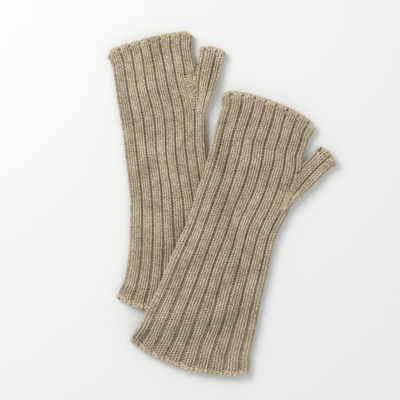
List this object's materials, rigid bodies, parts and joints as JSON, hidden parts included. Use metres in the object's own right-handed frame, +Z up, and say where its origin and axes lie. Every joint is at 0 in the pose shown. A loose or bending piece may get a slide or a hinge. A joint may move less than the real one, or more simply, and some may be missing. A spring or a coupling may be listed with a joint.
{
  "type": "fingerless gloves",
  "caption": "Pair of long ribbed wool fingerless gloves with short thumbs, lying flat, the left one partly over the right one.",
  "frame": {"origin": "centre of the bottom of the box around the pair, on the surface that it lies on", "axes": "+Z up from the surface, +Y towards the finger ends, +X towards the thumb side of both gloves"},
  "size_m": [0.212, 0.3148, 0.0199],
  "materials": {
    "rib_wool": "ribbed knit, heather",
    "edge_wool": "bound-off edge, heather",
    "thumb_wool": "ribbed knit, heather"
  },
  "bodies": {
    "right_wrist": {"right_glove_cuff_edge": "edge_wool", "right_glove_wrist_rib": "rib_wool"},
    "right_hand": {"right_glove_hand_rib": "rib_wool", "right_glove_thumb_gusset": "thumb_wool", "right_glove_finger_edge": "edge_wool"},
    "right_thumb": {"right_glove_thumb_rib": "thumb_wool", "right_glove_thumb_edge": "edge_wool"},
    "left_wrist": {"left_glove_cuff_edge": "edge_wool", "left_glove_wrist_rib": "rib_wool"},
    "left_hand": {"left_glove_hand_rib": "rib_wool", "left_glove_thumb_gusset": "thumb_wool", "left_glove_finger_edge": "edge_wool"},
    "left_thumb": {"left_glove_thumb_rib": "thumb_wool", "left_glove_thumb_edge": "edge_wool"}
  },
  "joints": [
    {"name": "right_wrist_bend", "type": "hinge", "parent": "right_wrist", "child": "right_hand", "pos_m": [-0.0515, 0.0421, 0.0096], "axis": [0.9893, 0.1461, 0], "range_deg": [0, 40]},
    {"name": "right_thumb_swing", "type": "hinge", "parent": "right_hand", "child": "right_thumb", "pos_m": [-0.01921, 0.10398, 0.0048], "axis": [0, 0, 1], "range_deg": [-20, 8]},
    {"name": "left_glove_lift", "type": "slide", "parent": "right_wrist", "child": "left_wrist", "axis": [0, 0, 1], "range_m": [0, 0.1]},
    {"name": "left_wrist_bend", "type": "hinge", "parent": "left_wrist", "child": "left_hand", "pos_m": [0.0115, -0.0139, 0.0204], "axis": [0.9542, -0.299, 0], "range_deg": [0, 40]},
    {"name": "left_thumb_swing", "type": "hinge", "parent": "left_hand", "child": "left_thumb", "pos_m": [0.06964, 0.02709, 0.0048], "axis": [0, 0, 1], "range_deg": [-20, 8]}
  ]
}
